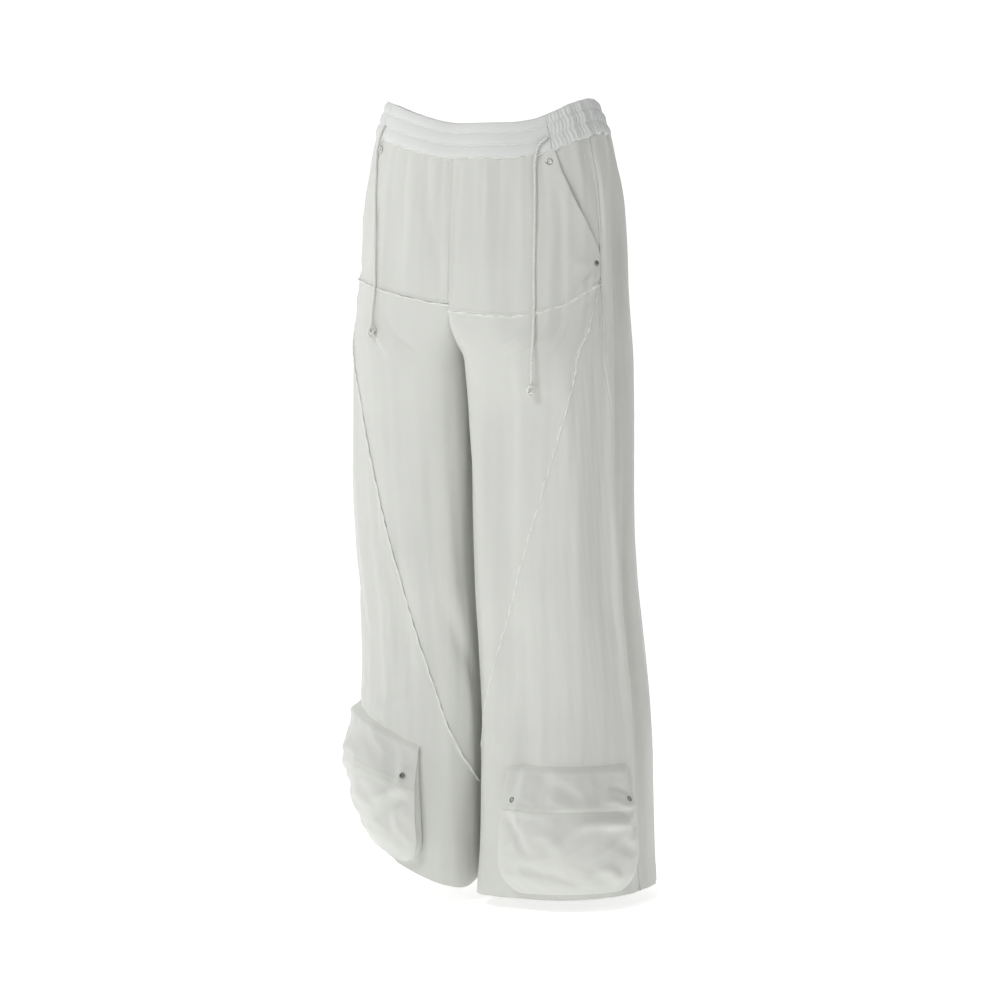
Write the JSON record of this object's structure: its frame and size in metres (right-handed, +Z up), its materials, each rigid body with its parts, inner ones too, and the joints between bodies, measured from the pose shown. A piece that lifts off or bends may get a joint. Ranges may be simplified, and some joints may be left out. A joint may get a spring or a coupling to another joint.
{
  "type": "wide-leg trousers",
  "caption": "Wide-leg trousers with a gathered low waist, drawcord ends, hip yokes, slanted pockets, diagonal leg seams and a snap-flap pouch at each hem, in worn form.",
  "frame": {"origin": "the middle of the waist opening, halfway down the waistband at its sides, where the wearer's waist holds the trousers up", "axes": "+Z up along the wearer's body, -Y towards the front, +X towards the wearer's left"},
  "size_m": [0.426, 0.2943, 1.0472],
  "materials": {
    "cloth": "matt off-white woven cloth with a faint sheen",
    "band": "off-white elastic waistband with stitched channels",
    "cord": "off-white twisted cotton cord",
    "metal": "small nickel snaps and rivets"
  },
  "bodies": {
    "root": {"waistband_front": "band", "waistband_back": "band", "front_yoke_left": "cloth", "pocket_facing_left": "cloth", "front_leg_left": "cloth", "side_leg_left": "cloth", "back_leg_left": "cloth", "pouch_face_left": "cloth", "pouch_gusset_left": "cloth", "pouch_flap_left": "cloth", "pocket_snap_left": "metal", "pocket_rivet_left": "metal", "pouch_snap_inner_left": "metal", "pouch_snap_outer_left": "metal", "drawcord_left": "cord", "drawcord_knot_left": "cord", "front_yoke_right": "cloth", "pocket_facing_right": "cloth", "front_leg_right": "cloth", "side_leg_right": "cloth", "back_leg_right": "cloth", "pouch_face_right": "cloth", "pouch_gusset_right": "cloth", "pouch_flap_right": "cloth", "pocket_snap_right": "metal", "pocket_rivet_right": "metal", "pouch_snap_inner_right": "metal", "pouch_snap_outer_right": "metal", "drawcord_right": "cord", "drawcord_knot_right": "cord"}
  },
  "joints": []
}
